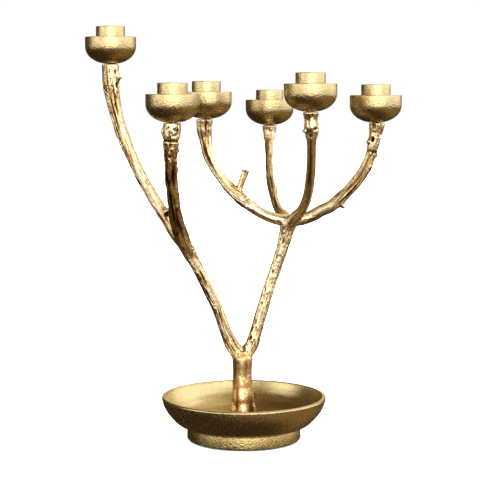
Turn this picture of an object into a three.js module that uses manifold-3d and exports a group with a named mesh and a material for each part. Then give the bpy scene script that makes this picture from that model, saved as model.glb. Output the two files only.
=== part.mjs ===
// A twig candelabrum of cast brass: a footed dish, a tree of six branches, a cup and candle socket on each.
// Millimetres, +Z up, the origin on the dish's axis at the underside of the foot. -Y is the front.
import * as THREE from "three";
import { mergeVertices } from "three/addons/utils/BufferGeometryUtils.js";
import Module from "manifold-3d";

// Shared sizes
const TREE_H = 325.5; // from the dish's floor to the highest tip
const TREE_W = 239.8; // from the leftmost tip to the rightmost
const GIRTH = 1; // of every trunk, limb and branch, as a share of the drawn one
const SEAT = 0.05; // between two faces that rest on each other
const BRAZE = 0.3; // between two castings that are brazed together

// Base
const DISH_R = 75;
const DISH_RIM_Z = 40;
const DISH_LIP = 4;
const DISH_FLOOR = 3.6; // thickness under the trunk
const DISH_FLAT_R = 36; // the level part inside
const FOOT_R = 51.75;
const FOOT_WALL = 4.7;
const FOOT_TOP_Z = 12;
const PAD_T = 1.2;
const BOLT_R = 4;
const BOLT_HEAD_EDGE = 3.5; // how far the head's corners pass the shank
const BOLT_HEAD_H = 5.3;
const BOLT_DEPTH = 22; // into the trunk
const BOLT_PLAY = 0.15;
const WASHER_EDGE = 4.5; // how far the washer passes the head
const WASHER_T = 1.6;

// Cups
const CUP_R = 23.1;
const CUP_DEPTH = 24.5;
const CUP_WALL = 1.6;
const CUP_FLOOR = 4.6;
const BORE_R = 11.2; // for a 22 mm candle
const BORE_DEPTH = 22;
const SOCKET_WALL = 1.9;
const SOCKET_FLOOR = 1.85; // between the stud and the candle
const STUD_R = 2.4;
const STUD_IN_BRANCH = 9;
const STUD_IN_SOCKET = 5.2;
const STUD_PLAY = 0.15;
const STUD_END_PLAY = 0.3;
const BOSS_WALL = 1.85; // round the stud's hole
const BOSS_H = 0.5; // the cup stands this far off the branch's end

// Finish of the meshes
const SIDES = 18; // around a branch
const STEP = 8; // along a branch
const TURNED = 24; // around a cup
const BASE_TURNED = 40;

const wasm = await Module();
wasm.setup();

const satin = new THREE.MeshStandardMaterial({ color: 0xa98b4c, roughness: 0.5, metalness: 1 });
const cast = new THREE.MeshStandardMaterial({ color: 0xc79a52, roughness: 0.3, metalness: 1 });
const steel = new THREE.MeshStandardMaterial({ color: 0x8f9296, roughness: 0.4, metalness: 1 });
const felt = new THREE.MeshStandardMaterial({ color: 0x2f3a30, roughness: 0.95, metalness: 0 });

const group = new THREE.Group();
const base = new THREE.Group();
const tree = new THREE.Group();
group.add(base, tree);

function add(parent, name, geometry, material) {
  const mesh = new THREE.Mesh(geometry, material);
  mesh.name = name;
  parent.add(mesh);
}

// A closed geometry with shared vertices whose faces point out.
function closed(geometry) {
  geometry.deleteAttribute("normal");
  geometry.deleteAttribute("uv");
  const merged = mergeVertices(geometry, 1e-4);
  const at = merged.attributes.position;
  const [a, b, c] = [new THREE.Vector3(), new THREE.Vector3(), new THREE.Vector3()];
  const corners = [];
  let volume = 0;
  for (let i = 0; i < merged.index.count; i += 3) {
    const three = [0, 1, 2].map((k) => merged.index.getX(i + k));
    if (three[0] === three[1] || three[1] === three[2] || three[2] === three[0]) continue;
    a.fromBufferAttribute(at, three[0]);
    b.fromBufferAttribute(at, three[1]);
    c.fromBufferAttribute(at, three[2]);
    volume += a.dot(b.cross(c));
    corners.push(three);
  }
  merged.setIndex(corners.flatMap((three) => (volume < 0 ? three.reverse() : three)));
  return merged;
}

function solid(geometry) {
  const whole = closed(geometry);
  return new wasm.Manifold(
    new wasm.Mesh({
      numProp: 3,
      vertProperties: new Float32Array(whole.attributes.position.array),
      triVerts: new Uint32Array(whole.index.array),
    }),
  );
}

function geometryOf(body) {
  const mesh = body.getMesh();
  const geometry = new THREE.BufferGeometry();
  geometry.setAttribute("position", new THREE.BufferAttribute(new Float32Array(mesh.vertProperties), 3));
  geometry.setIndex(new THREE.BufferAttribute(new Uint32Array(mesh.triVerts), 1));
  geometry.computeVertexNormals();
  return geometry;
}

// A body of revolution about Z from [radius, height] points that end on the axis or close on themselves.
function turned(points, segments = TURNED) {
  const profile = points.map(([r, z]) => new THREE.Vector2(r, z));
  return closed(new THREE.LatheGeometry(profile, segments).rotateX(Math.PI / 2));
}

function rod(radius, low, high, segments = 24) {
  return turned([[0, low], [radius, low], [radius, high], [0, high]], segments);
}

// Points of a smooth curve through [radius, height] stations.
function smooth(stations, count) {
  const curve = new THREE.SplineCurve(stations.map(([r, z]) => new THREE.Vector2(r, z)));
  return curve.getPoints(count).map((p) => [p.x, p.y]);
}

// ---- Base ----

const DISH_UNDER_Z = FOOT_TOP_Z - 0.6; // the dish drops this far into the foot ring
const FLOOR_Z = DISH_UNDER_Z + DISH_FLOOR;
const WALL_Z = DISH_RIM_Z - FOOT_TOP_Z;

// A radius between the foot's and the dish's.
function flare(share) {
  return THREE.MathUtils.lerp(FOOT_R, DISH_R, share);
}

// Outside of the dish from the foot to the lip, and the inside from the lip to the floor.
const dishOutside = smooth(
  [
    [FOOT_R + 0.2, FOOT_TOP_Z + SEAT],
    [flare(0.274), FOOT_TOP_Z + WALL_Z * 0.085],
    [flare(0.477), FOOT_TOP_Z + WALL_Z * 0.2],
    [flare(0.748), FOOT_TOP_Z + WALL_Z * 0.45],
    [flare(0.903), FOOT_TOP_Z + WALL_Z * 0.66],
    [flare(0.974), FOOT_TOP_Z + WALL_Z * 0.82],
    [DISH_R, DISH_RIM_Z - DISH_LIP * 0.35],
  ],
  9,
);
const dishInside = smooth(
  [
    [DISH_R - DISH_LIP, DISH_RIM_Z - DISH_LIP * 0.35],
    [flare(0.903) - DISH_LIP, FOOT_TOP_Z + WALL_Z * 0.74],
    [flare(0.726) - DISH_LIP, FLOOR_Z + WALL_Z * 0.4],
    [flare(0.355) - DISH_LIP, FLOOR_Z + WALL_Z * 0.14],
    [DISH_FLAT_R, FLOOR_Z],
  ],
  7,
);
const boltHole = BOLT_R + BOLT_PLAY;
const boltHeadR = BOLT_R + BOLT_HEAD_EDGE;
const washerR = boltHeadR + WASHER_EDGE;
const spigot = FOOT_R - FOOT_WALL - 0.4;
add(
  base,
  "dish",
  turned(
    [
      [boltHole, DISH_UNDER_Z],
      [spigot, DISH_UNDER_Z],
      [spigot, FOOT_TOP_Z + SEAT],
      ...dishOutside,
      [DISH_R - DISH_LIP * 0.3, DISH_RIM_Z],
      [DISH_R - DISH_LIP * 0.7, DISH_RIM_Z],
      ...dishInside,
      [boltHole, FLOOR_Z],
      [boltHole, DISH_UNDER_Z],
    ],
    BASE_TURNED,
  ),
  satin,
);

const footLow = PAD_T + SEAT;
const footIn = FOOT_R - FOOT_WALL;
add(
  base,
  "foot_ring",
  turned(
    [
      [footIn, footLow],
      [FOOT_R - 0.5, footLow],
      [FOOT_R, footLow + 0.5],
      [FOOT_R, FOOT_TOP_Z - 0.4],
      [FOOT_R - 0.4, FOOT_TOP_Z],
      [footIn, FOOT_TOP_Z],
      [footIn, footLow],
    ],
    BASE_TURNED,
  ),
  satin,
);
add(base, "foot_pad", rod(FOOT_R - 1.25, 0, PAD_T, BASE_TURNED), felt);

const washerLow = DISH_UNDER_Z - SEAT - WASHER_T;
add(
  base,
  "tie_washer",
  turned([
    [boltHole, washerLow],
    [washerR, washerLow],
    [washerR, DISH_UNDER_Z - SEAT],
    [boltHole, DISH_UNDER_Z - SEAT],
    [boltHole, washerLow],
  ]),
  steel,
);
const headHigh = washerLow - SEAT;
const headLow = headHigh - BOLT_HEAD_H;
const hexHead = rod(boltHeadR, headLow, headHigh, 6);
const boltShank = rod(BOLT_R, headLow + 1, FLOOR_Z + BOLT_DEPTH);
add(base, "tie_bolt", geometryOf(solid(hexHead).add(solid(boltShank))), steel);

// ---- Tree ----

// Each line of the tree is a list of [x, y, height above the dish's floor, radius] stations.
const LINES = {
  trunk: [
    [0, 0, 0, 13.6],
    [-0.3, 0, 10, 11.9],
    [-0.7, 0, 20.5, 10.2],
    [-1.2, 0, 34, 9],
    [-1.3, 0, 46, 8.7],
    [-1.3, 0, 58, 8.9],
    [-2.2, 0, 66, 7.5],
  ],
  a: [
    [-1.5, 0, 54, 6],
    [-5.5, -0.5, 64, 6.6],
    [-11, -1, 72, 6.3],
    [-17, -2, 85.5, 5.3],
    [-23.5, -3, 104, 5],
    [-32, -4, 122.5, 5.1],
    [-41, -5.5, 141, 5.2],
    [-51, -6.5, 159.5, 5.9],
    [-60.5, -4, 172.5, 6.1],
    [-69.5, 1, 186, 5.6],
    [-81, 6, 203.5, 5.5],
    [-91.5, 10, 221.5, 5.3],
    [-100.5, 13, 239.5, 5.3],
    [-108.5, 16, 257.5, 5.8],
    [-114.5, 18, 275.5, 5.6],
    [-118.5, 19.5, 292, 6.4],
    [-120.8, 20, 308, 7.5],
    [-121.3, 20, 325.5, 7.6],
  ],
  b: [
    [-47, -6.5, 152, 4.8],
    [-51.5, -11.5, 162.5, 6],
    [-56, -19.5, 173.5, 6.7],
    [-59.2, -31.5, 188, 6.2],
    [-61, -44, 203, 5.5],
    [-62, -55, 218.5, 5.3],
    [-62.6, -62.5, 234, 5.6],
    [-62.9, -66.3, 248, 6],
    [-62.3, -67.8, 260, 6.8],
    [-61.2, -68, 274, 7.6],
  ],
  right: [
    [-1.5, 0, 54, 6],
    [2, 0.6, 64, 6.4],
    [7.4, 1.4, 71.5, 6.1],
    [11.4, 2.2, 85, 5.5],
    [16.7, 3, 103, 5.3],
    [22.1, 4, 121.5, 5.3],
    [28.4, 4.8, 139.5, 5.2],
    [34.4, 5.4, 158, 5.5],
    [38.1, 5.8, 171.5, 6.2],
    [40.6, 6, 181.5, 7.2],
    [41.6, 6, 187, 6],
  ],
  c: [
    [41, 6, 184, 5.2],
    [28.3, 6, 186.6, 5.2],
    [15.6, 6.2, 191.5, 4.8],
    [5.4, 6.5, 198.4, 5],
    [-1.2, 7, 203.5, 5.7],
    [-11, 8, 212.5, 5.2],
    [-21, 9.5, 224.5, 4.5],
    [-28.8, 11, 237, 5],
    [-33, 12, 248, 5.3],
    [-35, 13, 259, 5.9],
    [-35.8, 13, 268, 6.9],
    [-35.6, 13, 276, 7.5],
  ],
  d: [
    [41, 7, 184, 4.6],
    [36.5, 12, 189, 4.4],
    [32, 18, 193.5, 4],
    [28.6, 28, 201.5, 3.6],
    [26.6, 41, 210.5, 4.1],
    [24.8, 53, 219.5, 3.6],
    [24.4, 67, 229.5, 3.4],
    [24.2, 80, 239.5, 3.5],
    [24.3, 91, 250, 4.3],
    [24.7, 98, 258.5, 5.4],
    [25, 100, 268.5, 6.7],
  ],
  e: [
    [40.6, 4, 179.5, 4.7],
    [46, -2.2, 188.5, 5],
    [51.5, -9.5, 195, 4.6],
    [55, -18, 203.5, 4.3],
    [57, -26.5, 213.5, 4.2],
    [58.2, -35.5, 226, 4.2],
    [58.6, -42, 239, 4.2],
    [58.4, -46, 253, 4.2],
    [58.4, -47.6, 264, 5.2],
    [58.2, -48, 270.5, 6],
    [58, -48, 276.5, 5.5],
    [57.9, -48, 283, 6.8],
  ],
  f: [
    [42, 6, 184, 5.4],
    [54.5, 4.5, 186.6, 5.6],
    [62.7, 3, 189.7, 5.5],
    [70.7, 1, 194.5, 5.3],
    [78.4, -1, 198.3, 5.6],
    [86, -3, 204.8, 5.5],
    [95.2, -5, 214, 5.3],
    [103.4, -7, 224.5, 5],
    [108.6, -8.5, 233.2, 4.9],
    [112.7, -9.5, 243, 4.7],
    [115.3, -10, 253, 5.2],
    [117.1, -10, 262, 5.5],
    [118.5, -10, 273, 6.8],
  ],
  twig: [
    [-2.5, 7, 202, 4.4],
    [-4.6, 7, 210, 3.6],
    [-3, 7.4, 217.5, 3],
    [0.6, 8, 226, 3.1],
    [1.6, 8, 230.5, 3.3],
  ],
};

// Stations of each line where the castings are brazed.
const BRAZED_AT = { a: [3, 8.6], b: 2.6, right: 3, c: 1.15, d: 2.2, e: 2.1, f: 1.15 };

// Swellings: at is the station, around is in degrees (0 front, 90 right, 180 back, 270 left).
const KNOTS = {
  trunk: [
    { at: 0.3, around: 20, size: 4, height: 1.2 },
    { at: 0.3, around: 110, size: 4, height: 1.2 },
    { at: 0.3, around: 200, size: 4, height: 1.2 },
    { at: 0.3, around: 290, size: 4, height: 1.2 },
  ],
  a: [
    { at: 9.25, around: 45, size: 4, height: 2 },
    { at: 16.35, around: 84, size: 4, height: 2 },
  ],
  b: [
    { at: 6, around: 90, size: 3, height: 1 },
    { at: 7.2, around: 90, size: 3, height: 1 },
    { at: 8.5, around: 280, size: 4, height: 1.2 },
  ],
  right: [
    { at: 2.4, around: 30, size: 5, height: 0.9 },
    { at: 8.9, around: 320, size: 5, height: 1 },
  ],
  c: [{ at: 3.8, around: 30, size: 4, height: 1.2 }],
  d: [{ at: 4, around: 90, size: 4, height: 0.6 }],
  e: [{ at: 8.45, around: 285, size: 3, height: 1.6 }],
  f: [
    { at: 4.85, around: 80, size: 3.5, height: 2.6 },
    { at: 8.1, around: 60, size: 3.5, height: 0.8 },
    { at: 9.3, around: 90, size: 3, height: 1.2 },
    { at: 10.3, around: 285, size: 3, height: 2 },
  ],
};

// Shares of the drawn tree that give the height and the width above.
const tips = ["a", "b", "c", "d", "e", "f"].map((name) => LINES[name].at(-1));
const RISE = TREE_H / Math.max(...tips.map(([, , height]) => height));
const SPREAD = TREE_W / (Math.max(...tips.map(([x]) => x)) - Math.min(...tips.map(([x]) => x)));

function lineOf(name) {
  const stations = LINES[name].map(([x, y, height, radius]) => ({
    at: new THREE.Vector3(x * SPREAD, y * SPREAD, FLOOR_Z + SEAT + height * RISE),
    radius: radius * GIRTH,
  }));
  const curve = new THREE.CatmullRomCurve3(stations.map((s) => s.at), false, "catmullrom", 0.5);
  return { curve, stations, knots: KNOTS[name] ?? [], last: stations.length - 1 };
}

function radiusAt(line, station) {
  const low = Math.min(Math.floor(station), line.last - 1);
  const part = THREE.MathUtils.smoothstep(station - low, 0, 1);
  return THREE.MathUtils.lerp(line.stations[low].radius, line.stations[low + 1].radius, part);
}

// How far a knot lifts the bark at a station and an angle.
function swelling(line, station, angle, spacing) {
  let lift = 0;
  for (const knot of line.knots) {
    const along = ((station - knot.at) * spacing) / knot.size;
    let turn = angle - THREE.MathUtils.degToRad(knot.around);
    turn = Math.atan2(Math.sin(turn), Math.cos(turn));
    const across = (turn * radiusAt(line, knot.at)) / knot.size;
    lift += knot.height * GIRTH * Math.exp(-2 * (along ** 2 + across ** 2));
  }
  return lift;
}

// The length of bark from one station to another. Its ends are flat, and level where the line ends in a tip.
function length(name, from, to, { levelStart = false, levelEnd = false } = {}) {
  const line = lineOf(name);
  const spacing = line.curve.getLength() / line.last;
  const count = Math.max(2, Math.round(((to - from) * spacing) / STEP));
  const stations = Array.from({ length: count + 1 }, (_, i) => from + ((to - from) * i) / count);
  for (const knot of line.knots) {
    const reach = (knot.size * 0.6) / spacing;
    for (const near of [knot.at - reach, knot.at, knot.at + reach])
      if (stations.every((s) => Math.abs(s - near) * spacing > 1) && near > from && near < to) stations.push(near);
  }
  stations.sort((p, q) => p - q);

  const front = new THREE.Vector3(0, -1, 0);
  const positions = [];
  for (const station of stations) {
    const centre = line.curve.getPoint(station / line.last);
    const along = line.curve.getTangent(station / line.last);
    if ((levelStart && station === from) || (levelEnd && station === to)) along.set(0, 0, 1);
    const ahead = front.clone().addScaledVector(along, -front.dot(along)).normalize();
    const right = new THREE.Vector3().crossVectors(along, ahead);
    for (let side = 0; side < SIDES; side++) {
      const angle = (2 * Math.PI * side) / SIDES;
      const ridge = 1 + 0.045 * Math.cos(5 * angle + station * 0.5);
      const radius = radiusAt(line, station) * ridge + swelling(line, station, angle, spacing);
      const out = ahead.clone().multiplyScalar(Math.cos(angle)).addScaledVector(right, Math.sin(angle));
      positions.push(...centre.clone().addScaledVector(out, radius).toArray());
    }
  }
  const rings = stations.length;
  const [first, last] = [line.curve.getPoint(from / line.last), line.curve.getPoint(to / line.last)];
  positions.push(...first.toArray(), ...last.toArray());

  const index = [];
  for (let ring = 0; ring < rings - 1; ring++)
    for (let side = 0; side < SIDES; side++) {
      const next = (side + 1) % SIDES;
      const [p, q] = [ring * SIDES + side, ring * SIDES + next];
      index.push(p, q, p + SIDES, q, q + SIDES, p + SIDES);
    }
  for (let side = 0; side < SIDES; side++) {
    const next = (side + 1) % SIDES;
    const top = (rings - 1) * SIDES;
    index.push(rings * SIDES, next, side, rings * SIDES + 1, top + side, top + next);
  }
  const geometry = new THREE.BufferGeometry();
  geometry.setAttribute("position", new THREE.Float32BufferAttribute(positions, 3));
  geometry.setIndex(index);
  return solid(geometry);
}

// A braze gap as a share of one station.
function gap(name) {
  const line = lineOf(name);
  return (BRAZE * line.last) / line.curve.getLength();
}

// ---- Cups, sockets and studs ----

const studHole = STUD_R + STUD_PLAY;
const bossR = studHole + BOSS_WALL;
const socketR = BORE_R + SOCKET_WALL;

const CUP_AT = {
  a: [-120.9, 20],
  b: [-61, -68],
  c: [-34, 13],
  d: [25, 100],
  e: [57.4, -48],
  f: [117.3, -10],
};

function tipOf(name) {
  const line = lineOf(name);
  return line.stations[line.last].at.z;
}

// The drip cup, the candle socket and the stud of one branch, in a group whose origin is the cup's underside.
function cupOn(name) {
  const cup = new THREE.Group();
  const [x, y] = CUP_AT[name].map((v) => v * SPREAD);
  cup.position.set(x, y, tipOf(name) + BOSS_H + SEAT);
  const wallLow = CUP_DEPTH * 0.66;
  const flatR = socketR + 0.6;
  const inR = CUP_R - CUP_WALL;

  const outside = [];
  for (let i = 0; i <= 5; i++) {
    const turn = (Math.PI / 2) * (0.18 + 0.82 * (i / 5));
    outside.push([CUP_R * Math.sin(turn) ** 0.94, wallLow * (1 - Math.cos(turn) ** 0.94)]);
  }
  const inside = [];
  for (let i = 0; i <= 4; i++) {
    const turn = (Math.PI / 2) * (1 - i / 4);
    inside.push([flatR + (inR - flatR) * Math.sin(turn), wallLow - (wallLow - CUP_FLOOR) * Math.cos(turn)]);
  }
  const bowl = turned([
    [studHole, 0],
    [bossR + 0.2, 0],
    ...outside,
    [CUP_R, CUP_DEPTH - 0.5],
    [CUP_R - 0.5, CUP_DEPTH],
    [inR + 0.4, CUP_DEPTH],
    [inR, CUP_DEPTH - 0.4],
    ...inside,
    [studHole, CUP_FLOOR],
    [studHole, 0],
  ]);
  add(cup, `drip_cup_${name}`, bowl, satin);

  const seat = CUP_FLOOR + SEAT;
  const recess = seat + STUD_IN_SOCKET + STUD_END_PLAY;
  const candle = recess + SOCKET_FLOOR;
  const top = candle + BORE_DEPTH;
  const socket = turned([
    [0, candle],
    [BORE_R, candle],
    [BORE_R, top - 0.4],
    [BORE_R + 0.4, top],
    [socketR - 0.5, top],
    [socketR, top - 0.5],
    [socketR, seat],
    [studHole, seat],
    [studHole, recess],
    [0, recess],
  ]);
  add(cup, `candle_socket_${name}`, socket, satin);

  const stud = rod(STUD_R, -SEAT - STUD_IN_BRANCH, seat + STUD_IN_SOCKET, 16);
  add(cup, `cup_stud_${name}`, stud, steel);
  tree.add(cup);
}

// A branch from its braze to its tip, with the boss that carries the cup and the hole for the stud.
function branch(name, from, extra) {
  const line = lineOf(name);
  const [x, y] = CUP_AT[name].map((v) => v * SPREAD);
  const tip = tipOf(name);
  let body = length(name, from + gap(name), line.last, { levelEnd: true });
  if (extra) body = body.add(extra);
  const boss = rod(bossR, tip - 3, tip + BOSS_H, 20).translate(x, y, 0);
  const holeLow = tip + BOSS_H - STUD_IN_BRANCH - STUD_END_PLAY;
  const hole = rod(studHole, holeLow, tip + BOSS_H + 2, 16).translate(x, y, 0);
  body = body.add(solid(boss)).subtract(solid(hole));
  add(tree, `branch_${name}`, geometryOf(body), cast);
}

const boltBore = solid(rod(BOLT_R + BOLT_PLAY, FLOOR_Z - 2, FLOOR_Z + BOLT_DEPTH + 0.5));
const trunk = length("trunk", 0, 6, { levelStart: true })
  .add(length("a", 0, BRAZED_AT.a[0]))
  .add(length("right", 0, BRAZED_AT.right))
  .subtract(boltBore);
add(tree, "trunk", geometryOf(trunk), cast);

const limbLeft = length("a", BRAZED_AT.a[0] + gap("a"), BRAZED_AT.a[1]).add(length("b", 0, BRAZED_AT.b));
add(tree, "limb_left", geometryOf(limbLeft), cast);

let limbRight = length("right", BRAZED_AT.right + gap("right"), 10);
for (const name of ["c", "d", "e", "f"]) limbRight = limbRight.add(length(name, 0, BRAZED_AT[name]));
add(tree, "limb_right", geometryOf(limbRight), cast);

branch("a", BRAZED_AT.a[1]);
branch("b", BRAZED_AT.b);
branch("c", BRAZED_AT.c, length("twig", 0, LINES.twig.length - 1)); // the cut twig stands on branch C
branch("d", BRAZED_AT.d);
branch("e", BRAZED_AT.e);
branch("f", BRAZED_AT.f);
for (const name of Object.keys(CUP_AT)) cupOn(name);

export default group;
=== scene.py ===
import math

import bmesh
import bpy
import numpy as np
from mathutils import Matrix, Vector


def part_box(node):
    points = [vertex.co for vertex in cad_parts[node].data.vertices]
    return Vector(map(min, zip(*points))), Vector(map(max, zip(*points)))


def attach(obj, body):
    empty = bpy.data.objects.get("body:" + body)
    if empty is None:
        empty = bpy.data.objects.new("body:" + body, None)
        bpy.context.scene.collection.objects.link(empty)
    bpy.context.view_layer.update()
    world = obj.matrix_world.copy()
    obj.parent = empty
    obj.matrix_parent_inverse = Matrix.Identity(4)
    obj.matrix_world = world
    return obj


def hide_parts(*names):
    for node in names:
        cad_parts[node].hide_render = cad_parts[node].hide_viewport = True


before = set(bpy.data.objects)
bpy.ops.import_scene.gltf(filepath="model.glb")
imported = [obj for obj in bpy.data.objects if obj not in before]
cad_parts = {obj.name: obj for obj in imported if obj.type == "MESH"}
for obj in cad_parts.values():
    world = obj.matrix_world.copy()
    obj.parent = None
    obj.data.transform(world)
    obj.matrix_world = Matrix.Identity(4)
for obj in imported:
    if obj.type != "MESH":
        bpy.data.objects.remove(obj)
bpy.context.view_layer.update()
MM = 0.001

# ---- Camera ----

camera = bpy.data.objects.new("camera", bpy.data.cameras.new("camera"))
bpy.context.scene.collection.objects.link(camera)
camera.data.sensor_width = 36
camera.data.lens = 110.6
camera.data.clip_end = 30
camera.location = (-0.0035, -1.3285, 0.3145)
DIP = 5.67  # degrees below level
camera.rotation_euler = (math.radians(90 - DIP), 0, 0)
bpy.context.scene.camera = camera


# ---- Materials ----

class Nodes:
    """A short way to write a node tree.

    Each call adds one node. A socket takes a number or another node's output. It is named by its own name,
    with _ for a space, or by i and its place.
    """

    def __init__(self, tree):
        self.tree = tree

    def add(self, kind, output=0, *, settings=None, **sockets):
        """Adds a node and returns one of its outputs, or the node itself where output is None."""
        node = self.tree.nodes.new(kind)
        for name, value in (settings or {}).items():
            setattr(node, name, value)
        for name, value in sockets.items():
            key = int(name[1:]) if name[0] == "i" and name[1:].isdigit() else name.replace("_", " ")
            if isinstance(value, bpy.types.NodeSocket):
                self.tree.links.new(value, node.inputs[key])
            else:
                node.inputs[key].default_value = value
        return node if output is None else node.outputs[output]

    def math(self, operation, a, b=0.0, c=0.0):
        return self.add("ShaderNodeMath", settings={"operation": operation}, i0=a, i1=b, i2=c)

    def ramp(self, value, *stops):
        """A colour ramp through (position, colour) stops."""
        node = self.add("ShaderNodeValToRGB", None, Fac=value)
        elements = node.color_ramp.elements
        while len(elements) < len(stops):
            elements.new(0.5)
        for element, (position, colour) in zip(elements, stops):
            element.position = position
            element.color = (*colour, 1)
        return node.outputs[0]

    def spread(self, value, low, high, to_low=0.0, to_high=1.0):
        """value from low..high to to_low..to_high, eased at both ends."""
        node = self.add(
            "ShaderNodeMapRange", None, settings={"interpolation_type": "SMOOTHSTEP"},
            Value=value, From_Min=low, From_Max=high, To_Min=to_low, To_Max=to_high,
        )
        return node.outputs[0]

    def noise(self, scale, detail=2.0, roughness=0.5, vector=None):
        vector = vector or self.add("ShaderNodeTexCoord", "Object")
        return self.add(
            "ShaderNodeTexNoise", "Fac", Vector=vector, Scale=scale, Detail=detail, Roughness=roughness,
        )


def material(name):
    made = bpy.data.materials.new(name)
    made.use_nodes = True
    made.node_tree.nodes.clear()
    return made, Nodes(made.node_tree)


def finish_material(made, nodes, **sockets):
    shader = nodes.add("ShaderNodeBsdfPrincipled", **sockets)
    nodes.add("ShaderNodeOutputMaterial", None, Surface=shader)
    return made


def satin_brass(name, grain, colour, dark, bump):
    """Sand-cast brass: a fine sparkling grain, this many to the metre, over slow clouds."""
    made, n = material(name)
    coarse = n.noise(grain, 2, 0.6)
    fine = n.noise(grain * 2.6, 2, 0.6)
    cloud = n.noise(38, 3, 0.55)
    fleck = n.math("MULTIPLY_ADD", coarse, 0.7, n.math("MULTIPLY", cloud, 0.3))
    tint = n.ramp(fleck, (0.34, dark), (0.6, colour))
    height = n.add("ShaderNodeBump", Strength=bump, Distance=0.0005, Height=coarse)
    height = n.add("ShaderNodeBump", Strength=bump * 0.6, Distance=0.0003, Height=fine, Normal=height)
    rough = n.spread(fine, 0.3, 0.7, 0.19, 0.28)
    return finish_material(made, n, Base_Color=tint, Metallic=1.0, Roughness=rough, Normal=height)


def cast_brass():
    """Polished cast bark, with painted shade that makes it orange-brown in its furrows, and dull where it is
    blotched.

    The tree's meshes say in "grain" where a place is round and along its branch, in mm. In "bark" they say
    how deep it lies in a furrow, which sets its painted shade, how strong the fine grooves are and how
    blotched it is, from 0 to 1.
    """
    made, n = material("cast_brass")
    bark = n.add("ShaderNodeAttribute", "Vector", settings={"attribute_name": "bark"})
    parts = n.add("ShaderNodeSeparateXYZ", None, Vector=bark)
    furrow_shade_and_cut, grooved, blotched = parts.outputs[0], parts.outputs[1], parts.outputs[2]
    grain = n.add("ShaderNodeAttribute", "Vector", settings={"attribute_name": "grain"})

    def grooves(across, along, width):
        """1 in thin long grooves that run along the branch."""
        stretched = n.add(
            "ShaderNodeVectorMath", settings={"operation": "MULTIPLY"}, i0=grain, i1=(across, across, along),
        )
        field = n.noise(1, 2, 0.5, stretched)
        return n.spread(n.math("ABSOLUTE", n.math("SUBTRACT", field, 0.5)), 0, width, 1, 0)

    # The grooves are a bump, and they also darken the tint as painted shade.
    wide = n.math("MULTIPLY", grooves(0.5, 0.026, 0.1), grooved)
    thin = n.math("MULTIPLY", grooves(1.0, 0.06, 0.1), grooved)
    groove = n.math("MULTIPLY_ADD", thin, 0.5, wide)
    mottle = n.noise(210, 4, 0.65)
    # How dark the bark is: painted shade in its furrows, grooves and pits, and patina where it is blotched.
    blotch = n.math("MULTIPLY", n.spread(n.noise(520, 3, 0.6), 0.45, 0.66), blotched)
    patina_and_shade = n.math("MULTIPLY_ADD", groove, 0.35, n.math("MULTIPLY", furrow_shade_and_cut, 0.9))
    patina_and_shade = n.math("MULTIPLY_ADD", mottle, 0.22, patina_and_shade)
    patina_and_shade = n.math("ADD", n.math("MULTIPLY_ADD", blotch, 0.26, patina_and_shade), n.spread(blotched, 0.3, 1, 0, 0.22))
    tint = n.ramp(
        patina_and_shade, (0.2, (1.0, 0.88, 0.6)), (0.42, (0.97, 0.69, 0.33)), (0.66, (0.5, 0.28, 0.1)),
        (0.95, (0.1, 0.045, 0.015)),
    )
    swell = n.math("MULTIPLY", mottle, n.spread(blotched, 0, 1, 0.5, 0.16))
    relief = n.math("MULTIPLY_ADD", groove, -1, swell)
    height = n.add("ShaderNodeBump", Strength=1.0, Distance=0.0008, Height=relief)
    pores = n.noise(1100, 2, 0.6)
    height = n.add("ShaderNodeBump", Strength=0.35, Distance=0.0003, Height=pores, Normal=height)
    rough = n.math("ADD", n.spread(patina_and_shade, 0.15, 0.9, 0.12, 0.36), n.spread(blotched, 0.3, 1, 0, 0.04))
    return finish_material(made, n, Base_Color=tint, Metallic=1.0, Roughness=rough, Normal=height)


def steel_material():
    made, n = material("steel")
    lines = n.noise(700, 3, 0.6)
    tint = n.ramp(lines, (0.3, (0.42, 0.43, 0.45)), (0.7, (0.62, 0.63, 0.65)))
    height = n.add("ShaderNodeBump", Strength=0.2, Distance=0.0002, Height=lines)
    return finish_material(made, n, Base_Color=tint, Metallic=1.0, Roughness=0.38, Normal=height)


def felt_material():
    made, n = material("felt")
    fibres = n.noise(1500, 5, 0.7)
    tint = n.ramp(fibres, (0.3, (0.02, 0.028, 0.02)), (0.7, (0.055, 0.07, 0.05)))
    height = n.add("ShaderNodeBump", Strength=0.8, Distance=0.0005, Height=fibres)
    return finish_material(
        made, n, Base_Color=tint, Roughness=0.95, Normal=height, Sheen_Weight=0.4, Sheen_Roughness=0.5,
    )


DISH = satin_brass("satin_brass", 700, (0.72, 0.58, 0.3), (0.67, 0.53, 0.26), 0.5)
CUPS = satin_brass("cup_brass", 620, (0.72, 0.58, 0.3), (0.66, 0.52, 0.25), 0.75)
FOOT = satin_brass("foot_brass", 620, (0.7, 0.54, 0.235), (0.42, 0.3, 0.115), 1.1)
CAST = cast_brass()
STEEL = steel_material()
FELT = felt_material()


# ---- Turned pieces ----

def rounded(corners, step=0.3):
    """A line through (radius, height) or (radius, height, fillet) corners, in mm, with arcs as fillets."""
    line = []
    for i, corner in enumerate(corners):
        here = Vector(corner[:2])
        fillet = corner[2] if len(corner) > 2 else 0
        if not fillet or i in (0, len(corners) - 1):
            line.append(here)
            continue
        back = (Vector(corners[i - 1][:2]) - here).normalized()
        ahead = (Vector(corners[i + 1][:2]) - here).normalized()
        half = back.angle(ahead) / 2
        reach = fillet / math.tan(half)
        centre = here + (back + ahead).normalized() * (fillet / math.sin(half))
        start, end = here + back * reach - centre, here + ahead * reach - centre
        count = max(2, round((math.pi - 2 * half) * fillet / step))
        for k in range(count + 1):
            line.append(centre + start.slerp(end, k / count).normalized() * fillet)
    return line


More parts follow.
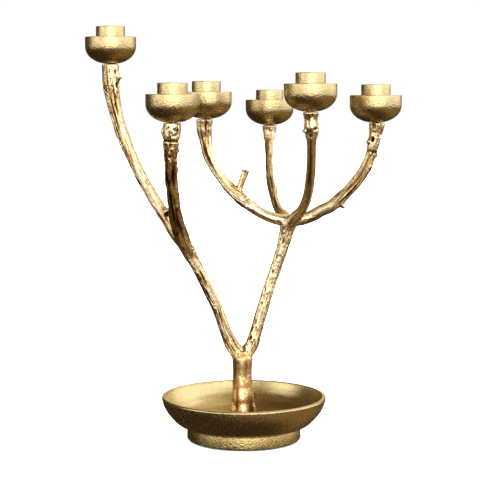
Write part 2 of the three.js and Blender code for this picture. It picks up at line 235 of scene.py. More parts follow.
def new_mesh(name, vertices, faces, made, **attributes):
    """A new object of these vertices and faces. Each attribute is an array of one vector for each vertex."""
    mesh = bpy.data.meshes.new(name)
    mesh.from_pydata(vertices, [], faces)
    mesh.materials.append(made)
    mesh.shade_smooth()
    for key, vectors in attributes.items():
        mesh.attributes.new(key, "FLOAT_VECTOR", "POINT").data.foreach_set("vector", vectors.ravel())
    piece = bpy.data.objects.new(name, mesh)
    bpy.context.scene.collection.objects.link(piece)
    return piece


def lathe(name, node, line, made, segments):
    """Turns a closed line of (radius, height) in mm about the node's axis. Height 0 is the node's lowest."""
    low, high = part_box(node)
    middle = (low + high) / 2
    vertices = []
    for r, z in line:
        for k in range(segments):
            turn = 2 * math.pi * k / segments
            x, y = r * MM * math.cos(turn), r * MM * math.sin(turn)
            vertices.append((middle.x + x, middle.y + y, low.z + z * MM))
    faces = []
    for i in range(len(line)):
        j = (i + 1) % len(line)
        for k in range(segments):
            m = (k + 1) % segments
            faces.append((i * segments + k, i * segments + m, j * segments + m, j * segments + k))
    piece = new_mesh(name, vertices, faces, made)
    clean = bmesh.new()
    clean.from_mesh(piece.data)
    bmesh.ops.remove_doubles(clean, verts=clean.verts, dist=1e-6)
    bmesh.ops.recalc_face_normals(clean, faces=clean.faces)
    clean.to_mesh(piece.data)
    clean.free()
    piece.data.set_sharp_from_angle(angle=math.radians(35))
    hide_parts(node)
    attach(piece, "root")


# The turned pieces' sizes in mm, as in the CAD. The holes' sizes are radii.
CUP_R, CUP_DEPTH, CUP_WALL, CUP_FLOOR = 23.1, 24.5, 1.6, 4.6
CUP_SIDE = 0.66  # where its rounded bottom ends, as a share of its depth
CUP_SQUARE = 0.94  # the power that makes its bottom a little fuller than a ball
BORE_R, BORE_DEPTH, SOCKET_WALL = 11.2, 22, 1.9
SOCKET_R = BORE_R + SOCKET_WALL
STUD_HOLE, STUD_DEPTH = 2.55, 5.5
DISH_R, DISH_LIP, DISH_FLOOR, DISH_FLAT_R = 75, 4, 3.6, 36
FOOT_R, FOOT_WALL, FOOT_SEAT, BOLT_HOLE = 51.75, 4.7, 0.6, 4.15
AXIS = 0.001  # a radius so small that it closes to a point
SEAM = 0.05  # between the dish and the top of the foot ring
CUP_SIDES, SOCKET_SIDES, FOOT_SIDES = 96, 72, 160


def cup_line():
    """An open bowl with a rounded bottom, an upright side and a flat seat inside for the socket."""
    side = CUP_DEPTH * CUP_SIDE
    inner = CUP_R - CUP_WALL
    seat = SOCKET_R + 0.6
    outer_steps, inner_steps = 28, 20
    corners = [(STUD_HOLE, 0)]
    for k in range(outer_steps + 1):
        turn = math.pi / 2 * (0.1 + 0.9 * k / outer_steps)
        r, z = math.sin(turn) ** CUP_SQUARE, 1 - math.cos(turn) ** CUP_SQUARE
        corners.append((CUP_R * r, side * z))
    corners += [(CUP_R, CUP_DEPTH, 0.55), (inner, CUP_DEPTH, 0.45)]
    for k in range(inner_steps + 1):
        turn = math.pi / 2 * (1 - k / inner_steps)
        corners.append((seat + (inner - seat) * math.sin(turn), side - (side - CUP_FLOOR) * math.cos(turn)))
    corners.append((STUD_HOLE, CUP_FLOOR))
    return rounded(corners)


def socket_line():
    """A tube with a bore for the candle above and a hole for the stud below."""
    low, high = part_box("candle_socket_a")
    top = (high.z - low.z) / MM
    return rounded([
        (AXIS, top - BORE_DEPTH),
        (BORE_R, top - BORE_DEPTH, 0.8),
        (BORE_R, top, 0.45),
        (SOCKET_R, top, 0.6),
        (SOCKET_R, 0, 0.3),
        (STUD_HOLE, 0),
        (STUD_HOLE, STUD_DEPTH),
        (AXIS, STUD_DEPTH),
    ])


def between(before, start, end, after, t):
    """A place on the smooth curve from start, at t 0, to end, at t 1. Takes vectors or arrays."""
    return (
        start * (2 * t**3 - 3 * t**2 + 1) + (end - before) / 2 * (t**3 - 2 * t**2 + t)
        + end * (-2 * t**3 + 3 * t**2) + (after - start) / 2 * (t**3 - t**2)
    )


def spline(stations, count):
    """A smooth line through (radius, height) stations, with this many points from each to the next."""
    points = [Vector(s) for s in stations]
    ends = [points[0], *points, points[-1]]
    line = [between(*ends[i:i + 4], k / count) for i in range(len(points) - 1) for k in range(count)]
    return [tuple(p) for p in [*line, points[-1]]]


def flare(share):
    """A radius from the foot's, at 0, to the dish's, at 1."""
    return FOOT_R + (DISH_R - FOOT_R) * share


def dish_line():
    """Heights are above the dish's underside, which lies FOOT_SEAT inside the foot ring."""
    low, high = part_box("dish")
    rim = (high.z - low.z) / MM
    wall = rim - FOOT_SEAT
    spigot = FOOT_R - FOOT_WALL - 0.4
    outside = spline(
        [
            (FOOT_R + 0.2, FOOT_SEAT + SEAM),
            (flare(0.274), FOOT_SEAT + wall * 0.085),
            (flare(0.477), FOOT_SEAT + wall * 0.2),
            (flare(0.748), FOOT_SEAT + wall * 0.45),
            (flare(0.903), FOOT_SEAT + wall * 0.66),
            (flare(0.974), FOOT_SEAT + wall * 0.82),
            (DISH_R, rim - DISH_LIP * 0.4),
        ],
        8,
    )
    inside = spline(
        [
            (DISH_R - DISH_LIP, rim - DISH_LIP * 0.4),
            (flare(0.903) - DISH_LIP, FOOT_SEAT + wall * 0.74),
            (flare(0.726) - DISH_LIP, DISH_FLOOR + wall * 0.4),
            (flare(0.355) - DISH_LIP, DISH_FLOOR + wall * 0.14),
            (DISH_FLAT_R, DISH_FLOOR),
        ],
        10,
    )
    return rounded([
        (BOLT_HOLE, 0), (spigot, 0), (spigot, FOOT_SEAT + SEAM), *outside,
        (DISH_R, rim, 1.5), (DISH_R - DISH_LIP, rim, 1.3), *inside, (BOLT_HOLE, DISH_FLOOR),
    ])


def foot_line():
    """A band with its inner lower edge bevelled."""
    low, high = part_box("foot_ring")
    top = (high.z - low.z) / MM
    inner = FOOT_R - FOOT_WALL
    return rounded([(inner + 1, 0), (FOOT_R, 0, 0.7), (FOOT_R, top, 0.6), (inner, top), (inner, 1)])


for letter in "abcdef":
    lathe(f"cup_{letter}", f"drip_cup_{letter}", cup_line(), CUPS, CUP_SIDES)
    lathe(f"socket_{letter}", f"candle_socket_{letter}", socket_line(), CUPS, SOCKET_SIDES)
lathe("footed_dish", "dish", dish_line(), DISH, FOOT_SIDES)
lathe("foot_band", "foot_ring", foot_line(), FOOT, FOOT_SIDES)

# The pieces whose meshes stay the CAD's.
plain = {"foot_pad": FELT, "tie_washer": STEEL, "tie_bolt": STEEL}
plain.update({f"cup_stud_{letter}": STEEL for letter in "abcdef"})
for node, made in plain.items():
    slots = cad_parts[node].data.materials
    slots.clear()
    slots.append(made)


# ---- Tree ----

# The tree's lines, as in the CAD: (x, y, height above the dish's floor, radius) stations in mm.
LINES = {
    "trunk": [
        (0, 0, 0, 13.6), (-0.3, 0, 10, 11.9), (-0.7, 0, 20.5, 10.2), (-1.2, 0, 34, 9), (-1.3, 0, 46, 8.7),
        (-1.3, 0, 58, 8.9), (-2.2, 0, 66, 7.5),
    ],
    "a": [
        (-1.5, 0, 54, 6), (-5.5, -0.5, 64, 6.6), (-11, -1, 72, 6.3),
        (-17, -2, 85.5, 5.3), (-23.5, -3, 104, 5),
        (-32, -4, 122.5, 5.1), (-41, -5.5, 141, 5.2), (-51, -6.5, 159.5, 5.9), (-60.5, -4, 172.5, 6.1),
        (-69.5, 1, 186, 5.6), (-81, 6, 203.5, 5.5), (-91.5, 10, 221.5, 5.3), (-100.5, 13, 239.5, 5.3),
        (-108.5, 16, 257.5, 5.8), (-114.5, 18, 275.5, 5.6), (-118.5, 19.5, 292, 6.4),
        (-120.8, 20, 308, 7.5), (-121.3, 20, 325.5, 7.6),
    ],
    "b": [
        (-47, -6.5, 152, 4.8), (-51.5, -11.5, 162.5, 6), (-56, -19.5, 173.5, 6.7), (-59.2, -31.5, 188, 6.2),
        (-61, -44, 203, 5.5), (-62, -55, 218.5, 5.3), (-62.6, -62.5, 234, 5.6), (-62.9, -66.3, 248, 6),
        (-62.3, -67.8, 260, 6.8), (-61.2, -68, 274, 7.6),
    ],
    "right": [
        (-1.5, 0, 54, 6), (2, 0.6, 64, 6.4), (7.4, 1.4, 71.5, 6.1),
        (11.4, 2.2, 85, 5.5), (16.7, 3, 103, 5.3),
        (22.1, 4, 121.5, 5.3), (28.4, 4.8, 139.5, 5.2), (34.4, 5.4, 158, 5.5), (38.1, 5.8, 171.5, 6.2),
        (40.6, 6, 181.5, 7.2), (41.6, 6, 187, 6),
    ],
    "c": [
        (41, 6, 184, 5.2), (28.3, 6, 186.6, 5.2), (15.6, 6.2, 191.5, 4.8), (5.4, 6.5, 198.4, 5),
        (-1.2, 7, 203.5, 5.7), (-11, 8, 212.5, 5.2), (-21, 9.5, 224.5, 4.5), (-28.8, 11, 237, 5),
        (-33, 12, 248, 5.3), (-35, 13, 259, 5.9), (-35.8, 13, 268, 6.9), (-35.6, 13, 276, 7.5),
    ],
    "d": [
        (41, 7, 184, 4.6), (36.5, 12, 189, 4.4), (32, 18, 193.5, 4), (28.6, 28, 201.5, 3.6),
        (26.6, 41, 210.5, 4.1), (24.8, 53, 219.5, 3.6), (24.4, 67, 229.5, 3.4), (24.2, 80, 239.5, 3.5),
        (24.3, 91, 250, 4.3), (24.7, 98, 258.5, 5.4), (25, 100, 268.5, 6.7),
    ],
    "e": [
        (40.6, 4, 179.5, 4.7), (46, -2.2, 188.5, 5), (51.5, -9.5, 195, 4.6), (55, -18, 203.5, 4.3),
        (57, -26.5, 213.5, 4.2), (58.2, -35.5, 226, 4.2), (58.6, -42, 239, 4.2), (58.4, -46, 253, 4.2),
        (58.4, -47.6, 264, 5.2), (58.2, -48, 270.5, 6), (58, -48, 276.5, 5.5), (57.9, -48, 283, 6.8),
    ],
    "f": [
        (42, 6, 184, 5.4), (54.5, 4.5, 186.6, 5.6), (62.7, 3, 189.7, 5.5), (70.7, 1, 194.5, 5.3),
        (78.4, -1, 198.3, 5.6), (86, -3, 204.8, 5.5), (95.2, -5, 214, 5.3), (103.4, -7, 224.5, 5),
        (108.6, -8.5, 233.2, 4.9), (112.7, -9.5, 243, 4.7), (115.3, -10, 253, 5.2), (117.1, -10, 262, 5.5),
        (118.5, -10, 273, 6.8),
    ],
    "twig": [
        (-2.5, 7, 202, 4.4), (-4.6, 7, 210, 3.6), (-3, 7.4, 217.5, 3),
        (0.6, 8, 226, 3.1), (1.6, 8, 230.5, 3.3),
    ],
}

# The castings that share each line, and the station where each one starts.
CASTINGS = {
    "trunk": {"trunk": 0},
    "a": {"trunk": 0, "limb_left": 3, "branch_a": 8.6},
    "b": {"limb_left": 0, "branch_b": 2.6},
    "right": {"trunk": 0, "limb_right": 3},
    "c": {"limb_right": 0, "branch_c": 1.15},
    "d": {"limb_right": 0, "branch_d": 2.2},
    "e": {"limb_right": 0, "branch_e": 2.1},
    "f": {"limb_right": 0, "branch_f": 1.15},
    "twig": {"branch_c": 0},
}
PARTS = sorted({name for starts in CASTINGS.values() for name in starts})

# The bark of each line. Lengths are in mm, and grooved, blotched and cut are from 0 to 1.
#   furrow, width, long   how deep, how wide and how long its furrows are
#   lump, swell           how high and how long its lumps are
#   dent                  how deep its small dents are
#   grooved               how strong its finest grooves are, which are only in the material, as a bump and as painted shade
#   flutes                how high the flutes of its foot are
#   blotched              how much patina it has
#   smooth_to             the station up to which it is nearly smooth
#   cut                   how dark its cut end is
BARK = {
    "trunk": dict(
        furrow=0.1, width=6, long=40, lump=0.22, swell=40,
        dent=0.04, grooved=0.1, flutes=1.1, blotched=1,
    ),
    "a": dict(furrow=0.2, width=1.6, long=60, lump=0.25, dent=0.06, grooved=0.5),
    "b": dict(furrow=0.36, width=2.8, long=26, lump=0.75, dent=0.25, grooved=0.4),
    "right": dict(furrow=0.14, width=1.8, long=10, lump=0.28, dent=0.15, grooved=0.45, blotched=0.35),
    "c": dict(furrow=0.26, width=3.2, long=44, lump=0.3, dent=0.07, grooved=0.35, smooth_to=3.2),
    "d": dict(furrow=0.2, width=3, long=36, lump=0.35, dent=0.1, grooved=0.25),
    "e": dict(furrow=0.14, width=3.4, long=50, lump=0.25, dent=0.05, grooved=0.15),
    "f": dict(furrow=0.42, width=2.1, long=40, lump=0.3, dent=0.1, grooved=0.6, smooth_to=4.8),
    "twig": dict(furrow=0.2, width=2, long=14, lump=0.5, dent=0.2, grooved=0.2, cut=0.9, blotched=0.9),
}

# Knots, thorns, pits and collars on the bark: (station, angle round the line, length, breadth, lift), in
# degrees and mm. 0 is the front, 90 the right. A lift below 0 is a hollow. A breadth of 0 is a ring.
MARKS = {
    "trunk": [
        (0.3, 110, 12, 4, 1.2), (0.3, 200, 14, 4, 1.2), (0.6, 42, 26, 4.5, -0.9), (4, 300, 22, 2.5, -0.5),
        (2.2, 350, 22, 3, 0.35), (4.4, 25, 14, 3, -0.4), (5.8, 0, 8, 6, -0.4), (2.2, 325, 20, 2, -0.5),
    ],
    "a": [
        (9.25, 52, 5, 5, 4.2), (9.15, 30, 2.2, 2, -3.6), (9.45, 60, 1.6, 1.4, -1.5), (9.0, 0, 6, 1.4, -0.8),
        (16.35, 84, 4.4, 4.2, 2.6), (15.9, 52, 2.6, 1.8, -2.8), (16.6, 40, 2, 1.5, -0.9),
        (14.4, 350, 22, 1.0, -1.2), (15.3, 20, 20, 1.0, -1.1), (16.2, 340, 12, 1.0, -0.9),
        (1.9, 38, 15, 0.9, -1.2), (3.7, 5, 9, 0.9, -1.1), (5.6, 10, 12, 1, -1.4),
        (4.5, 302, 30, 0.9, -1.2), (7.5, 315, 34, 0.9, -1.1),
        (10, 312, 40, 0.9, -1.3), (13, 322, 34, 0.9, -1.2),
    ],
    "b": [
        (4.1, 335, 30, 1.5, -1.6), (6.4, 318, 18, 1.0, -1.4), (6.2, 342, 20, 1.6, 0.9),
        (6, 90, 3.5, 3, 1.3), (7.2, 90, 3.5, 3, 1.4),
        (8.5, 280, 4, 4.5, 1.9), (7.95, 0, 1.2, 0, -0.9),
        (8.15, 20, 2, 2.2, 0.9), (8.75, 340, 1.3, 1.1, -0.9),
        (9.3, 30, 1.4, 1.2, -0.8), (8.6, 50, 1.5, 1.3, -0.8), (5.1, 345, 4.5, 2.6, 1.1),
        (5.5, 15, 12, 1.2, -1.0), (6.9, 355, 1.6, 1.3, -0.9), (7.4, 20, 3, 3, 0.7), (3, 15, 20, 1.2, -1.0),
    ],
    "right": [
        (2.5, 340, 6, 4.5, 1.1), (2.5, 328, 2.4, 1.8, -1.7), (8.9, 320, 6, 5, 1.0), (9.1, 10, 2.6, 2, -1.2),
        (3.4, 325, 3, 1, -0.9), (4.3, 335, 2, 1, -0.8), (5, 322, 3.5, 0.9, -0.9), (5.9, 340, 2, 1, -0.8),
        (6.6, 328, 3, 1, -0.9), (7.5, 345, 3.4, 1.2, -0.9), (8, 320, 2.5, 1, -0.8), (5.4, 10, 2, 0.8, -0.6),
    ],
    "c": [
        (3.75, 40, 3.5, 3.5, 1.8), (3.2, 330, 2.5, 2, 0.9),
        (8.6, 330, 26, 1.4, -1.3), (7.3, 350, 20, 1.1, -1.0),
        (4.3, 0, 6, 3, 0.6), (10.5, 15, 9, 1.2, -0.9),
    ],
    "d": [(4, 90, 4, 4, 0.8), (4.4, 10, 16, 1.1, -1.0), (6.9, 10, 3, 1.2, -0.6), (2.6, 350, 12, 1.2, -0.9)],
    "e": [
        (8.45, 285, 2.2, 2.8, 2.6), (8.3, 80, 5, 4, 1.1),
        (8.75, 40, 1.6, 2.5, -0.9), (7.9, 350, 2, 1.5, -0.8),
        (6.2, 345, 36, 1.1, -1.3), (10.6, 10, 3, 1.4, -0.8), (9.9, 335, 6, 1, -0.6),
    ],
    "f": [
        (4.85, 78, 3.2, 3.2, 4.2), (4.75, 60, 1.2, 1.2, -1), (8.1, 60, 5, 4, 1.0),
        (8.1, 60, 2, 1.8, -1.8), (9.3, 90, 3, 3, 1.6),
        (9.5, 0, 1.3, 0, -0.6), (10.3, 285, 2.8, 3.2, 2.8), (10.6, 335, 2, 1.8, -3), (10.9, 60, 3, 2, 0.8),
        (6.2, 20, 20, 1.0, -0.9), (7.3, 350, 20, 1.0, -0.8),
    ],
    "twig": [(4, 0, 2, 0, 0.5), (0.8, 40, 5, 2, -0.7), (2.6, 300, 3, 2.5, 0.5)],
}

# In mm.
SAMPLE = 0.8  # between the points of a line
VOXEL = 0.5  # the size of the tree's faces
BLEND = 0.7  # how softly two lines of the tree flow together
TIP_RISE = 0.45  # how far a branch goes on under its cup
EDGE = 1.0  # how round the edge of a line's end is

SWELL, BLOTCHED, SMOOTH_TO = 9, 0.25, -2  # what BARK's lines have where it doesn't say
FLUTES, FLUTES_FADE = 5, 22  # round the trunk's foot, and the height in mm over which they fade


def lattice(i, j, k, seed):
    """A value from -1 to 1 for each whole place. The large odd numbers only stir its bits."""
    mixed = (i * 374761393 + j * 668265263 + k * 1440662683 + seed * 974634777) & 0xFFFFFFFF
    mixed = ((mixed ^ (mixed >> 13)) * 1274126177) & 0xFFFFFFFF
    return ((mixed ^ (mixed >> 16)) & 0xFFFF) / 32767.5 - 1


def noise(x, y, z, seed):
    """Smooth noise from -1 to 1 at arrays of places."""
    whole = [np.floor(v).astype(np.int64) for v in (x, y, z)]
    part = [v - w for v, w in zip((x, y, z), whole)]
    part = [v * v * (3 - 2 * v) for v in part]
    total = 0
    for corner in np.ndindex(2, 2, 2):
        share = 1
        for bit, v in zip(corner, part):
            share = share * (v if bit else 1 - v)
        total = total + share * lattice(*(w + bit for w, bit in zip(whole, corner)), seed)
    return total


class Line:
    """One line of the tree as close points, with the frame round it."""

    def __init__(self, name, seed, floor):
        stations = np.array(LINES[name], float)
        stations[:, 2] += floor
        self.name, self.seed, self.last = name, seed, len(stations) - 1
        self.holds_cup = name in "abcdef"
        before, after = 2 * stations[0] - stations[1], 2 * stations[-1] - stations[-2]
        p = np.vstack([before, stations, after])[:, :3]
        per_station = 60
        fine = np.linspace(0, self.last, per_station * self.last + 1)
        low = np.minimum(fine.astype(int), self.last - 1)
        at = between(p[low], p[low + 1], p[low + 2], p[low + 3], (fine - low)[:, None])
        gone = np.concatenate([[0], np.cumsum(np.linalg.norm(np.diff(at, axis=0), axis=1))])
        self.length = gone[-1]
        self.s = np.linspace(0, self.length, max(8, round(self.length / SAMPLE)))
        self.at = np.stack([np.interp(self.s, gone, at[:, i]) for i in range(3)], 1)
        self.station = np.interp(self.s, gone, fine)
        low = np.minimum(self.station.astype(int), self.last - 1)
        share = self.station - low
        share = share * share * (3 - 2 * share)
        self.radius = stations[low, 3] * (1 - share) + stations[low + 1, 3] * share
        along = np.gradient(self.at, self.s, axis=0)
        if name == "trunk":
            along[0] = (0, 0, 1)
        if self.holds_cup:
            along[-3:] = (0, 0, 1)
        self.along = along / np.linalg.norm(along, axis=1, keepdims=True)
        front = np.array([0.0, -1.0, 0.0])
        ahead = front - (self.along @ front)[:, None] * self.along
        self.ahead = ahead / np.linalg.norm(ahead, axis=1, keepdims=True)
        self.right = np.cross(self.along, self.ahead)

    def tube(self, shrink, sides=24):
        """A plain closed tube as (vertices, faces), thinner than the line by shrink all round."""
        vertices, faces = [], []
        for at, r, ahead, right in zip(self.at, self.radius, self.ahead, self.right):
            for k in range(sides):
                turn = 2 * math.pi * k / sides
                vertices.append(at + (r - shrink) * (math.cos(turn) * ahead + math.sin(turn) * right))
        count = len(self.at)
        for i in range(count - 1):
            for k in range(sides):
                m = (k + 1) % sides
                faces.append((i * sides + k, i * sides + m, (i + 1) * sides + m, (i + 1) * sides + k))
        faces.append(tuple(reversed(range(sides))))
        faces.append(tuple(range((count - 1) * sides, count * sides)))
        return vertices, faces

    def measure(self, places):
        """For each place: how far it is outside the line's plain skin, the way out, how far along the line,
        the angle round it, the radius there, and how much it lies on an end, from 0 to 1."""
        nearest = np.empty(len(places), int)
        at_once = 20000
        for start in range(0, len(places), at_once):
            part = places[start:start + at_once]
            square = (part**2).sum(1)[:, None] - 2 * part @ self.at.T + (self.at**2).sum(1)
            nearest[start:start + at_once] = square.argmin(1)
        at, along = self.at[nearest], self.along[nearest]
        offset = places - at
        step = (offset * along).sum(1)
        s = self.s[nearest] + step
        radial = offset - step[:, None] * along
        reach = np.linalg.norm(radial, axis=1)
        outward = radial / np.maximum(reach, 1e-6)[:, None]
        radius = np.interp(s, self.s, self.radius)
        # The skin is a closed tube with the edges of its ends rounded.
        beyond_high, beyond_low = s - self.length - TIP_RISE * self.holds_cup, -s
        cap = np.where((beyond_high > beyond_low)[:, None], along, -along)
        side, end = reach - (radius - EDGE), np.maximum(beyond_high, beyond_low) + EDGE
        side_share, end_share = np.maximum(side, 0), np.maximum(end, 0)
        distance = np.hypot(side_share, end_share) + np.minimum(np.maximum(side, end), 0) - EDGE
        inner = (side_share + end_share) < 1e-6
        side_share = np.where(inner, side > end, side_share)
        end_share = np.where(inner, side <= end, end_share)
        way = outward * side_share[:, None] + cap * end_share[:, None]
        way /= np.maximum(np.linalg.norm(way, axis=1), 1e-6)[:, None]
        angle = np.arctan2((outward * self.right[nearest]).sum(1), (outward * self.ahead[nearest]).sum(1))
        flat = np.clip(end_share / np.maximum(side_share + end_share, 1e-6), 0, 1)
        return distance, way, s, angle, radius, flat

    def bark(self, s, angle, radius):
        """How far the bark stands off the plain skin, in mm, and how deep in a furrow it is, 0 to 1, which
        the material paints as shade.
        """
        kind = BARK[self.name]
        rough = self.roughness(s)
        x, y = np.cos(angle), np.sin(angle)
        ring = radius / kind["width"]
        x2, y2 = self.drifted(s, angle)
        ridge = 1 - np.abs(noise(x2 * ring, y2 * ring, s / kind["long"], self.seed))
        lumps = noise(x * 1.5, y * 1.5, s / kind.get("swell", SWELL), self.seed + 2)
        dents = noise(x * radius / 2, y * radius / 2, s / 2.4, self.seed + 3)
        crease = np.clip((ridge - 0.66) / 0.34, 0, 1) ** 1.4
        lift = -kind["furrow"] * rough * (1.6 * crease - 0.5) + kind["lump"] * lumps + kind["dent"] * dents
        # deep is painted shade, darkest in the furrows.
        deep = 0.75 * rough * crease * min(1, kind["furrow"] / 0.35)
        if "flutes" in kind:
            lift += kind["flutes"] * np.exp(-s / FLUTES_FADE) * np.cos(FLUTES * angle + s * 0.03)
        for place, turn, length, breadth, height in MARKS[self.name]:
            along = (s - np.interp(place, self.station, self.s)) / length
            away = np.angle(np.exp(1j * (angle - math.radians(turn))))
            across = away * radius / breadth if breadth else 0.0
            shape = np.exp(-2 * (along**2 + across**2))
            lift += height * shape
            # Hollows get more painted shade, and raised marks get less.
            deep = np.clip(deep + (shape * -height if height < 0 else -0.5 * shape), 0, 1)
        return lift, deep

    def roughness(self, s):
        """How strong the bark is along the line, 0.2 to 1: some branches begin nearly smooth."""
        station = np.interp(s, self.s, self.station)
        return 0.2 + 0.8 * np.clip(station - BARK[self.name].get("smooth_to", SMOOTH_TO) + 0.7, 0, 1)

    def drifted(self, s, angle):
        """The round of the branch, turned a little to and fro along it, as bark grows."""
        drift = 0.55 * noise(np.cos(angle), np.sin(angle), s / 40, self.seed + 7)
        return np.cos(angle + drift), np.sin(angle + drift)


def blend_lines(lines, places):
    """The lines as one skin. For each place: how far outside it is, the way out, how much each line has in
    it, and what each line measured."""
    found = [line.measure(places) for line in lines]
    distances = np.stack([f[0] for f in found])
    least = distances.min(0)
    shares = np.exp(-(distances - least) / BLEND)
    total = shares.sum(0)
    distance = least - BLEND * np.log(total)
    shares /= total
    way = sum(share[:, None] * f[1] for share, f in zip(shares, found))
    way /= np.maximum(np.linalg.norm(way, axis=1), 1e-6)[:, None]
    return distance, way, shares, found


def rough_tree(lines):
    """The places and faces of plain tubes along the lines, made into one closed mesh of even faces."""
    vertices, faces = [], []
    for line in lines:
        more, closed = line.tube(shrink=0.2)
        faces += [tuple(v + len(vertices) for v in face) for face in closed]
        vertices += more
    rough = bpy.data.meshes.new("rough_tree")
    rough.from_pydata([v * MM for v in vertices], [], faces)
    holder = bpy.data.objects.new("rough_tree", rough)
    bpy.context.scene.collection.objects.link(holder)
    remesh = holder.modifiers.new("remesh", "REMESH")
    remesh.mode = "VOXEL"
    remesh.voxel_size = VOXEL * MM
    done = holder.evaluated_get(bpy.context.evaluated_depsgraph_get()).to_mesh()
    places = np.empty(len(done.vertices) * 3)
    done.vertices.foreach_get("co", places)
    places = places.reshape(-1, 3) / MM
    quads = np.array([tuple(p.vertices) for p in done.polygons])
    bpy.data.objects.remove(holder)
    bpy.data.meshes.remove(rough)
    return places, quads


def owners(lines, best, found):
    """For each place, which of PARTS it belongs to. best is its line's number."""
    owner = np.zeros(len(best), int)
    for i, line in enumerate(lines):
        mine = best == i
        station = np.interp(found[i][2][mine], line.s, line.station)
        chosen = np.zeros(mine.sum(), int)
        for name, start in CASTINGS[line.name].items():
            chosen[station >= start] = PARTS.index(name)
        owner[mine] = chosen
    return owner


def grow_tree():
    """Lays the rough tree on the lines' blended skin and raises its bark."""
    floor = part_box("trunk")[0].z / MM
    lines = [Line(name, 11 * i, floor) for i, name in enumerate(LINES)]
    places, quads = rough_tree(lines)
    for _ in range(3):
        distance, way, *_ = blend_lines(lines, places)
        places -= distance[:, None] * way
    distance, way, shares, found = blend_lines(lines, places)
    lift, deep = 0, 0
    for share, line, (_, _, s, angle, radius, flat) in zip(shares, lines, found):
        one, two = line.bark(s, angle, radius)
        lift = lift + share * one * (1 - 0.8 * flat)
        deep = deep + share * (two * (1 - flat) + BARK[line.name].get("cut", 0) * flat)
    places += lift[:, None] * way
    places[:, 2] = np.maximum(places[:, 2], floor)

    best = shares.argmax(0)
    grain = np.zeros((len(places), 3))
    grooved, blotched = np.zeros(len(places)), np.zeros(len(places))
    for i, (line, (_, _, s, angle, radius, flat)) in enumerate(zip(lines, found)):
        mine = best == i
        x, y = line.drifted(s[mine], angle[mine])
        grain[mine] = np.stack([x * radius[mine], y * radius[mine], s[mine] + 400 * i], 1)
        grooved[mine] = BARK[line.name]["grooved"] * (1 - flat[mine]) * line.roughness(s[mine])
        blotched[mine] = BARK[line.name].get("blotched", BLOTCHED)
    # The painted shade of furrows and pits with the dark of cut ends, how grooved it is and how blotched.
    bark = np.stack([deep, grooved, blotched], 1)
    return places, quads, bark, grain, owners(lines, best, found)


def split_tree():
    """Makes one piece for each casting. They keep the whole tree's normals, so that no joint shows."""
    places, quads, bark, grain, owner = grow_tree()
    whole = bpy.data.meshes.new("whole_tree")
    whole.from_pydata(places * MM, [], quads.tolist())
    normals = np.empty(len(places) * 3, np.float32)
    whole.vertex_normals.foreach_get("vector", normals)
    normals = normals.reshape(-1, 3)
    for i, name in enumerate(PARTS):
        faces = quads[owner[quads[:, 0]] == i]
        used, local = np.unique(faces, return_inverse=True)
        piece = new_mesh(
            name + "_bark", (places[used] * MM).tolist(), local.reshape(faces.shape).tolist(), CAST,
            bark=bark[used], grain=grain[used],
        )
        piece.data.normals_split_custom_set_from_vertices(normals[used])
        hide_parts(name)
        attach(piece, "root")
    bpy.data.meshes.remove(whole)


split_tree()


# ---- Stage ----

def make_floor():
    """White, and not mirrored in the brass: the world stands in for it there."""
    made, n = material("floor")
    tone = n.ramp(n.noise(3, 2), (0.3, (0.86, 0.855, 0.85)), (0.7, (0.89, 0.885, 0.88)))
    finish_material(made, n, Base_Color=tone, Roughness=0.8)
    bpy.ops.mesh.primitive_circle_add(vertices=96, radius=9, fill_type="NGON", location=(0, 0, 0))
    floor = bpy.context.object
    floor.name = "studio_floor"
    floor.data.materials.append(made)
    floor.visible_glossy = False


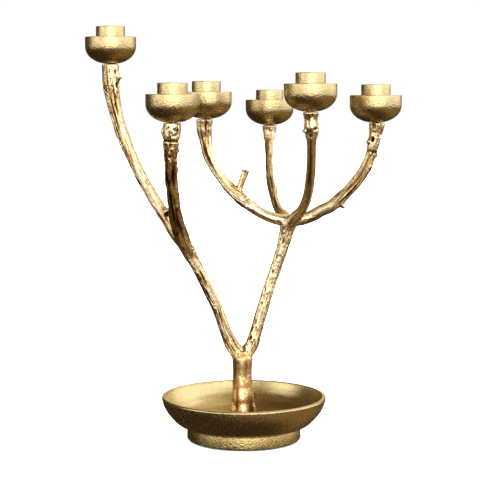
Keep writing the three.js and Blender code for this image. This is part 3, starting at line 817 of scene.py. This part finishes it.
def make_world():
    """A studio that the brass mirrors: a broad light in front and to the right, a smaller one on the left,
    weaker ones overhead and behind, and faint ones low down where a floor would throw light back.

    The light on dull surfaces and the white behind the object are even.
    """
    world = bpy.data.worlds.new("studio")
    bpy.context.scene.world = world
    world.use_nodes = True
    world.node_tree.nodes.clear()
    n = Nodes(world.node_tree)
    way = n.add("ShaderNodeTexCoord", "Generated")
    axes = n.add("ShaderNodeSeparateXYZ", None, Vector=way)
    x, y, z = axes.outputs[0], axes.outputs[1], axes.outputs[2]
    degrees = 180 / math.pi
    across = n.math("MULTIPLY", n.math("ARCTAN2", x, n.math("MULTIPLY", y, -1)), degrees)
    either_side = n.math("ABSOLUTE", across)
    up = n.math("MULTIPLY", n.math("ARCSINE", z), degrees)
    past = 400  # more than any angle

    def band(value, low, high, soft):
        """1 between two angles, eased to 0 outside them."""
        rise = n.spread(value, low - soft, low + soft)
        fall = n.spread(value, high - soft, high + soft, 1, 0)
        return n.math("MULTIPLY", rise, fall)

    def box(strength, sideways, sideways_soft, upwards, upwards_soft, angle=across):
        """A light between two angles sideways, where 0 is the front and 90 the right, and two upwards."""
        area = n.math("MULTIPLY", band(angle, *sideways, sideways_soft), band(up, *upwards, upwards_soft))
        return n.math("MULTIPLY", area, strength)

    boxes = [
        box(1.6, (-20, 136), 9, (-4, 47), 4),
        box(1.7, (-26, 34), 14, (-4, 26), 4),
        box(0.22, (-26, 40), 14, (-15, -6), 4),
        box(1.7, (-88, -42), 7, (-3, 38), 4),
        box(1.2, (-46, -18), 6, (-3, 15), 4),
        box(0.8, (40, 172), 18, (50, 78), 8),
        box(0.6, (140, 176), 8, (12, 55), 6),
        box(0.6, (168, past), 4, (-10, 50), 6, either_side),
        box(0.3, (-past, past), 8, (80, 95), 6),
        box(0.22, (40, 150), 20, (-55, -13), 9),
        box(0.1, (-25, 45), 20, (-55, -13), 9),
    ]
    light = n.spread(up, -20, 10, 0.05, 0.11)
    for area in boxes:
        light = n.math("ADD", light, area)
    # The dimmer the light, the warmer it is.
    colour = n.ramp(
        n.math("MULTIPLY", light, 0.8),
        (0.05, (1, 0.65, 0.36)), (0.2, (1, 0.65, 0.3)), (0.38, (1, 0.7, 0.33)), (0.6, (1, 0.79, 0.43)),
        (1.0, (1, 1, 1)),
    )
    mirrored = n.add("ShaderNodeBackground", Color=colour, Strength=n.math("MULTIPLY", light, 0.92))
    even = n.add("ShaderNodeBackground", Color=(1, 1, 1, 1), Strength=4.2)
    seen = n.add("ShaderNodeBackground", Color=(1, 1, 1, 1), Strength=1.0)
    ray = n.add("ShaderNodeLightPath", None)
    both = n.add("ShaderNodeMixShader", i0=ray.outputs["Is Diffuse Ray"], i1=mirrored, i2=even)
    both = n.add("ShaderNodeMixShader", i0=ray.outputs["Is Camera Ray"], i1=both, i2=seen)
    n.add("ShaderNodeOutputWorld", None, Surface=both)
    world.cycles.sampling_method = "NONE"  # dull surfaces have even light, with no bright place to seek out


make_floor()
make_world()

scene = bpy.context.scene
scene.view_settings.view_transform = "Standard"
scene.view_settings.look = "None"
